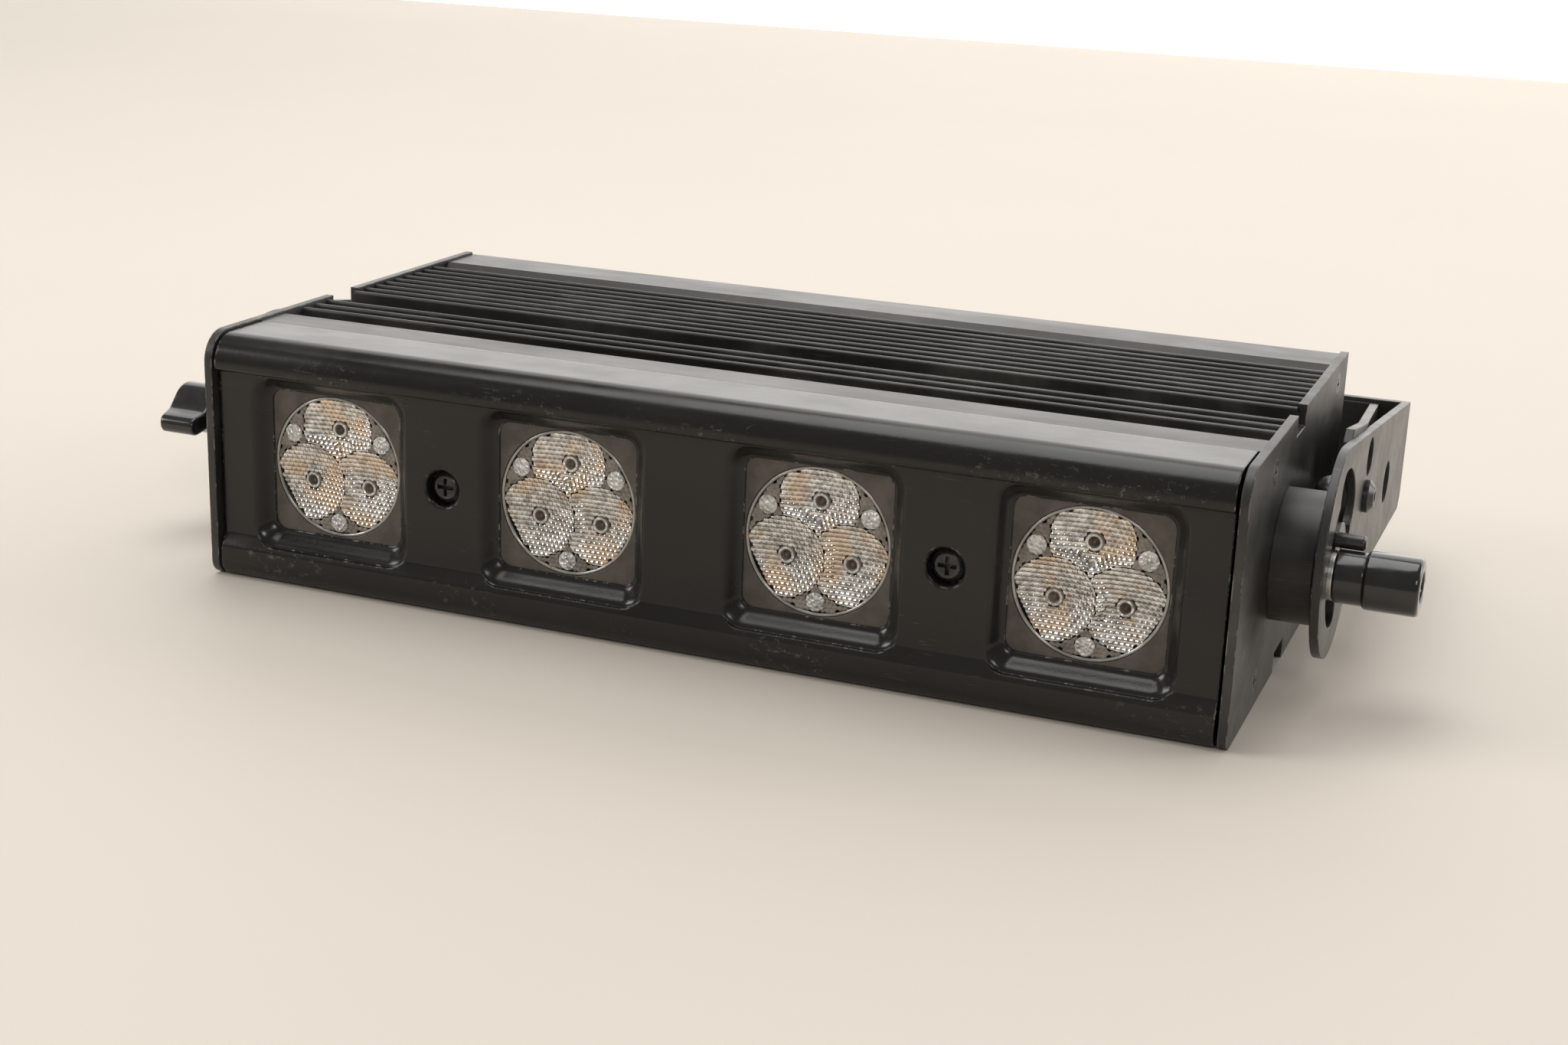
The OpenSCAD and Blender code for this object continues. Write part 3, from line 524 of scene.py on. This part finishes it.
# angles round the axis, closer together towards the wing at 0
KNOB_STEPS = 88
KNOB_ANGLES = [math.pi * s * (0.7 * s * s + 0.3) for s in [2 * i / KNOB_STEPS - 1 for i in range(KNOB_STEPS)]]
BISECTIONS = 24


def knob_gap(u, v):
    """Signed distance to the outline of hub and wing; u runs along the wing."""
    hub = math.hypot(u, v) - HUB_R
    wing = math.hypot(u - min(max(u, 0), WING_REACH - WING_HALF), v) - WING_HALF
    near = max(WING_BLEND - abs(hub - wing), 0) / WING_BLEND
    return min(hub, wing) - near * near * WING_BLEND / 4


def knob_ring(x, inset=0.0):
    """Outline of hub and wing pulled in by inset, as (along the axis, along the wing, across)."""
    share = max(0.0, (x - COLLAR_L) / WING_L)
    ring = []
    for angle in KNOB_ANGLES:
        near, far = 0.0, WING_REACH + MM
        for _ in range(BISECTIONS):
            r = (near + far) / 2
            inside = knob_gap(r * math.cos(angle), r * math.sin(angle)) < -inset
            near, far = (r, far) if inside else (near, r)
        u = near * math.cos(angle)
        ring.append((x - share * WING_SLANT * max(0.0, u - HUB_R), u, near * math.sin(angle)))
    return ring


def knob_circle(x, radius):
    return [(x, radius * math.cos(a), radius * math.sin(a)) for a in KNOB_ANGLES]


def knob_rings():
    """The knob's skin from the collar's end face, over the wing, to the bottom of the dish."""
    rings = [knob_circle(0.0, COLLAR_R - COLLAR_ROUND),
             knob_circle(0.3 * COLLAR_ROUND, COLLAR_R - 0.3 * COLLAR_ROUND),
             knob_circle(COLLAR_ROUND, COLLAR_R),
             knob_circle(COLLAR_L - COLLAR_SEAM, COLLAR_R),
             knob_circle(COLLAR_L, COLLAR_R - COLLAR_SEAM)]
    rings += [knob_ring(COLLAR_L + x * MM, inset * MM) for x, inset in KNOB_ROUNDING]
    rings += [knob_ring(COLLAR_L + WING_L * k / 4) for k in (1, 2, 3)]
    rings += [knob_ring(KNOB_END - x * MM, inset * MM) for x, inset in reversed(KNOB_ROUNDING)]
    rings += [knob_circle(KNOB_END, DISH_R + DISH_ROUND),
              knob_circle(KNOB_END - 0.25 * DISH_ROUND, DISH_R + 0.25 * DISH_ROUND),
              knob_circle(KNOB_END - DISH_ROUND, DISH_R),
              knob_circle(KNOB_END - DISH_DEPTH, DISH_R * DISH_TAPER)]
    return rings


def build_knob(name, side, turn):
    """One knob's skin on its own body; side is 1 on the right, and turn is the wing's angle."""
    joint = next(j for j in frame["record"]["behaviour"]["joints"] if j["child"] == name)
    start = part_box(name)[0].x if side > 0 else -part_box(name)[1].x
    axis = Vector((0, joint["pos_m"][1], joint["pos_m"][2]))
    angle = math.radians(turn)
    along = Vector((0, -math.cos(angle), -math.sin(angle)))
    across = Vector((0, math.sin(angle), -math.cos(angle)))
    bm = bmesh.new()
    loft(bm, [[(side * (start + x), *(axis + along * u + across * v).yz) for x, u, v in ring]
              for ring in knob_rings()])
    bmesh.ops.recalc_face_normals(bm, faces=bm.faces)
    knob = add_piece(name + "_skin", bm, ["knob_plastic"], name, name, 60)
    keep_flats(knob)


build_knob("knob_left", -1, 8)
build_knob("knob_right", 1, 160)


# ---------------------------------------------------------------- optics
PILLOW = 1.22 * MM
PILLOW_ROW = PILLOW * math.sqrt(3) / 2
PILLOW_CORNER = PILLOW / math.sqrt(3)
PILLOW_RINGS = 3
PILLOW_SAG = 0.24 * MM
FIELD_R = OPTIC_R - 0.55 * MM
FIELD_ROWS = int(OPTIC_R / PILLOW_ROW) + 1
CUP_R = 9.6 * MM
CUP_RING = 9.14 * MM
CUP_DEPTH = 1.5 * MM
CUP_FADE = 2.4 * MM
SKIN_DEPTH = 0.32 * MM
HOLE_R = 1.7 * MM
HOLE_DEPTH = 3.2 * MM
WELL_R = 1.15 * MM
SPOT_R = 2.2 * MM
SPOT_RING = 14.2 * MM
OPTIC_FINISHES = ("optic_skin", "optic_mirror", "optic_frost", "optic_well", "optic_rim")
SKIN, MIRROR, FROST, WELL, RIM = range(len(OPTIC_FINISHES))
# the collar in a cup's middle, from outside in: (radius, behind the cup's bottom, finish up to there)
COLLAR = [(HOLE_R + 0.5 * MM, 0.0, SKIN), (HOLE_R + 0.2 * MM, -0.5 * MM, SKIN), (HOLE_R, -0.6 * MM, FROST),
          (WELL_R + 0.2 * MM, -0.5 * MM, FROST), (WELL_R, -0.2 * MM, WELL)]
# the moulded lip, from outside in: (inside the optic's edge, behind its face), in millimetres
LIP = [(0.0, 2.2), (0.0, 0.4), (0.06, 0.1), (0.3, 0.0), (0.62, 0.02), (0.75, 0.35)]


def round_places(radius, angles):
    return [(radius * math.cos(math.radians(a)), radius * math.sin(math.radians(a))) for a in angles]


CUPS = round_places(CUP_RING, (210, 330, 90))
SPOTS = round_places(SPOT_RING, (30, 150, 270))


def nearest(points, x, z):
    return min(math.hypot(x - px, z - pz) for px, pz in points)


def cup_at(x, z):
    """Index of the frontmost cup over a point, or None on the clear skin; CUPS runs from front to back."""
    return next((i for i, (cx, cz) in enumerate(CUPS) if math.hypot(x - cx, z - cz) < CUP_R), None)


def cup_depth(x, z, cup):
    """How far the mirror of one cup lies behind the face; it rises to meet the edge of a cup in front."""
    t = min(math.hypot(x - CUPS[cup][0], z - CUPS[cup][1]) / CUP_R, 1.0)
    deep = CUP_DEPTH * (1 - t * t)
    for cx, cz in CUPS[:cup]:
        deep *= min(max(math.hypot(x - cx, z - cz) - CUP_R, 0.0) / CUP_FADE, 1.0)
    return deep + SKIN_DEPTH


def keep_to_edge(x, z, cup, inside):
    """Moves a point on the wrong side of a cup's edge onto it, so that the edge is a clean circle."""
    cx, cz = CUPS[cup]
    gap = math.hypot(x - cx, z - cz)
    if (gap > CUP_R) == inside:
        return cx + (x - cx) * CUP_R / gap, cz + (z - cz) * CUP_R / gap
    return x, z


def keep_in_region(x, z, cup):
    """Keeps a pillow's point inside its own cup, outside the cups in front, and inside the lip."""
    if cup is not None:
        x, z = keep_to_edge(x, z, cup, True)
    for front in range(len(CUPS) if cup is None else cup):
        x, z = keep_to_edge(x, z, front, False)
    away = math.hypot(x, z)
    if away > FIELD_R:
        x, z = x * FIELD_R / away, z * FIELD_R / away
    return x, z


def hexagon(corner, per_side):
    """Points round a hexagon, or its middle alone when per_side is 0."""
    if per_side == 0:
        return [(0.0, 0.0)]
    points = []
    for side in range(6):
        a, b = math.radians(60 * side + 30), math.radians(60 * side + 90)
        for t in [k / per_side for k in range(per_side)]:
            points.append((corner * (math.cos(a) * (1 - t) + math.cos(b) * t),
                           corner * (math.sin(a) * (1 - t) + math.sin(b) * t)))
    return points


def sew_hexagons(bm, inner, outer, finish):
    """Triangles between two hexagons, the outer with one more point a side than the inner."""
    per_out = len(outer) // 6
    per_in = per_out - 1
    for side in range(6):
        for k in range(per_out):
            first = inner[(side * per_in + k) % len(inner)]
            here, following = (outer[(side * per_out + k + step) % len(outer)] for step in (0, 1))
            bm.faces.new((first, following, here)).material_index = finish
            if k < per_in:
                second = inner[(side * per_in + k + 1) % len(inner)]
                bm.faces.new((first, second, following)).material_index = finish


def add_pillow(bm, cx, px, pz):
    """One six-sided dome; its outer ring meets its neighbours' in a sharp valley."""
    cup = cup_at(px, pz)
    rings = []
    for k in range(PILLOW_RINGS + 1):
        ring = []
        for ux, uz in hexagon(PILLOW_CORNER * k / PILLOW_RINGS, k):
            x, z = keep_in_region(px + ux, pz + uz, cup)
            deep = SKIN_DEPTH if cup is None else cup_depth(x, z, cup)
            dome = PILLOW_SAG * (1 - (ux * ux + uz * uz) / PILLOW_CORNER ** 2)
            ring.append(bm.verts.new((cx + x, OPTIC_Y + deep - dome, MID_Z + z)))
        rings.append(ring)
    for inner, outer in zip(rings, rings[1:]):
        sew_hexagons(bm, inner, outer, SKIN if cup is None else MIRROR)


def add_pillows(bm, cx):
    """The honeycomb of pillows, left out under the spots and the collars."""
    for row in range(-FIELD_ROWS, FIELD_ROWS + 1):
        for col in range(-FIELD_ROWS - 1, FIELD_ROWS + 2):
            px = (col + 0.5 * (row % 2)) * PILLOW
            pz = row * PILLOW_ROW
            in_field = math.hypot(px, pz) <= FIELD_R - 0.3 * PILLOW
            clear = nearest(CUPS, px, pz) >= HOLE_R + 0.25 * PILLOW and nearest(SPOTS, px, pz) >= SPOT_R
            if in_field and clear:
                add_pillow(bm, cx, px, pz)


def add_spot(bm, x, z):
    """A frosted ejector mark, slightly proud."""
    sizes = [(1.05 * SPOT_R, 0.2 * MM), (SPOT_R, 0.02 * MM), (0.86 * SPOT_R, -0.03 * MM)]
    rings = loft(bm, [round_loop(x, z, r, OPTIC_Y + y, 20) for r, y in sizes], False, [FROST, FROST])
    bm.faces.new(rings[-1]).material_index = FROST


def add_hole(bm, x, z):
    """A frosted collar in the middle of a cup round a small dark well."""
    bottom = OPTIC_Y + CUP_DEPTH + SKIN_DEPTH
    loops = [round_loop(x, z, radius, bottom + behind, 24) for radius, behind, _ in COLLAR]
    loops.append(round_loop(x, z, WELL_R * 0.9, OPTIC_Y + HOLE_DEPTH, 24))
    rings = loft(bm, loops, False, [finish for _, _, finish in COLLAR[1:]] + [WELL])
    bm.faces.new(rings[-1]).material_index = WELL


def add_lip(bm, cx):
    """The clear moulded lip round the optic."""
    sizes = [(OPTIC_R - inside * MM, OPTIC_Y + behind * MM) for inside, behind in LIP]
    loft(bm, [round_loop(cx, MID_Z, radius, y, 96) for radius, y in sizes], False, [RIM] * (len(LIP) - 1))


def build_optic(number, cx):
    bm = bmesh.new()
    add_pillows(bm, cx)
    for x, z in SPOTS:
        add_spot(bm, cx + x, MID_Z + z)
    for x, z in CUPS:
        add_hole(bm, cx + x, MID_Z + z)
    add_lip(bm, cx)
    add_piece("optic_%d" % number, bm, OPTIC_FINISHES, "body", "lens_%d" % number, 75)


moulded("optic_skin", (0.13, 0.11, 0.09), (0.26, 0.23, 0.195), 0.10, 1.0 * MM, 6 * MICRON,
        coat=0.6, patch=3 * MM)
mirror_finish()
frosted("optic_frost", (0.46, 0.45, 0.42), (0.86, 0.85, 0.82), 0.36, 0.9 * MM, 600 * MICRON, 0.4, 0.3)
moulded("optic_well", (0.15, 0.12, 0.095), (0.26, 0.22, 0.18), 0.25, 0.6 * MM)
metal("optic_rim", (0.30, 0.29, 0.27), (0.46, 0.45, 0.42), 0.16, 0.6 * MM, metallic=0.5)
for number, x in enumerate(CELL_X, 1):
    build_optic(number, x)


# ---------------------------------------------------------------- floor, backdrop, light
FLOOR_HALF = 4.0
WALL_Y = 1.5
WALL_TOP = 2.2
FLOOR_PAINT = (0.66, 0.60, 0.53)
WALL_PAINT = (0.9, 0.9, 0.89)
WALL_GLOW = 1.2
WALL_GLOW_COLOUR = (1.0, 0.99, 0.975, 1)
AMBIENT_COLOUR = (1.0, 0.975, 0.94, 1)
AMBIENT = 0.27


def stage_finish(name, colour):
    f = Finish(name, 0.6, specular=0.3)
    f.done(f.blend(f.band(f.noise(0.25, 3, 0.5), 0.3, 0.7), colour, [c * 0.985 for c in colour]))
    return f


def stage_sheet(name, corners, finish):
    mesh = bpy.data.meshes.new(name)
    mesh.from_pydata(corners, [], [tuple(range(len(corners)))])
    mesh.materials.append(finish.mat)
    obj = bpy.data.objects.new(name, mesh)
    bpy.context.scene.collection.objects.link(obj)


def area_light(name, place, target, size, power, colour=(1, 1, 1)):
    """A square or oblong soft light; places and sizes in metres, power in watts."""
    data = bpy.data.lights.new(name, "AREA")
    data.shape = "RECTANGLE"
    data.size, data.size_y = size
    data.energy = power
    data.color = colour
    obj = bpy.data.objects.new(name, data)
    obj.location = place
    obj.rotation_mode = "QUATERNION"
    obj.rotation_quaternion = (Vector(target) - Vector(place)).to_track_quat("-Z", "Y")
    bpy.context.scene.collection.objects.link(obj)


floor_finish = stage_finish("floor_paint", FLOOR_PAINT)
wall_finish = stage_finish("wall_paint", WALL_PAINT)
wall_finish.shader.inputs["Emission Color"].default_value = WALL_GLOW_COLOUR
wall_finish.shader.inputs["Emission Strength"].default_value = WALL_GLOW
stage_sheet("floor", [(-FLOOR_HALF, -FLOOR_HALF, 0), (FLOOR_HALF, -FLOOR_HALF, 0),
                      (FLOOR_HALF, FLOOR_HALF, 0), (-FLOOR_HALF, FLOOR_HALF, 0)], floor_finish)
stage_sheet("backdrop", [(-FLOOR_HALF, WALL_Y, 0), (FLOOR_HALF, WALL_Y, 0),
                         (FLOOR_HALF, WALL_Y, WALL_TOP), (-FLOOR_HALF, WALL_Y, WALL_TOP)], wall_finish)
area_light("overhead", (-0.25, 0.10, 1.5), (0, 0, 0), (1.4, 0.9), 13)
area_light("left_front", (-1.3, -0.7, 0.75), (0, 0, 0.03), (0.6, 0.6), 8, (1.0, 0.98, 0.95))
area_light("right_far", (1.5, 0.7, 0.6), (0.1, 0, 0.03), (0.8, 0.8), 7)
area_light("right_front", (0.75, -1.3, 0.95), (0, 0, 0.03), (0.35, 0.35), 4, (1.0, 0.97, 0.92))

world = bpy.data.worlds.new("studio")
world.use_nodes = True
world.node_tree.nodes["Background"].inputs["Color"].default_value = AMBIENT_COLOUR
world.node_tree.nodes["Background"].inputs["Strength"].default_value = AMBIENT
bpy.context.scene.world = world
bpy.context.scene.view_settings.view_transform = "Standard"

# ---------------------------------------------------------------- camera
CAMERA_LENS = 51.92
CAMERA_AWAY = 0.4456
CAMERA_X = 0.1996
CAMERA_Z = 0.1839
AZIMUTH, ELEVATION, ROLL = (math.radians(a) for a in (21.35, 17.16, 2.14))

camera_data = bpy.data.cameras.new("camera")
camera_data.lens = CAMERA_LENS
camera_data.sensor_width = 36
camera_data.clip_start = 0.02
camera_data.clip_end = 30
camera = bpy.data.objects.new("camera", camera_data)
bpy.context.scene.collection.objects.link(camera)
back = Vector((math.sin(AZIMUTH) * math.cos(ELEVATION), -math.cos(AZIMUTH) * math.cos(ELEVATION),
               math.sin(ELEVATION)))
level = (-back).cross(Vector((0, 0, 1))).normalized()
upright = level.cross(-back)
right = level * math.cos(ROLL) + upright * math.sin(ROLL)
up = upright * math.cos(ROLL) - level * math.sin(ROLL)
aim = Matrix((right, up, back)).transposed()
camera.matrix_world = Matrix.Translation((CAMERA_X, PLATE_FRONT_Y - CAMERA_AWAY, CAMERA_Z)) @ aim.to_4x4()
bpy.context.scene.camera = camera
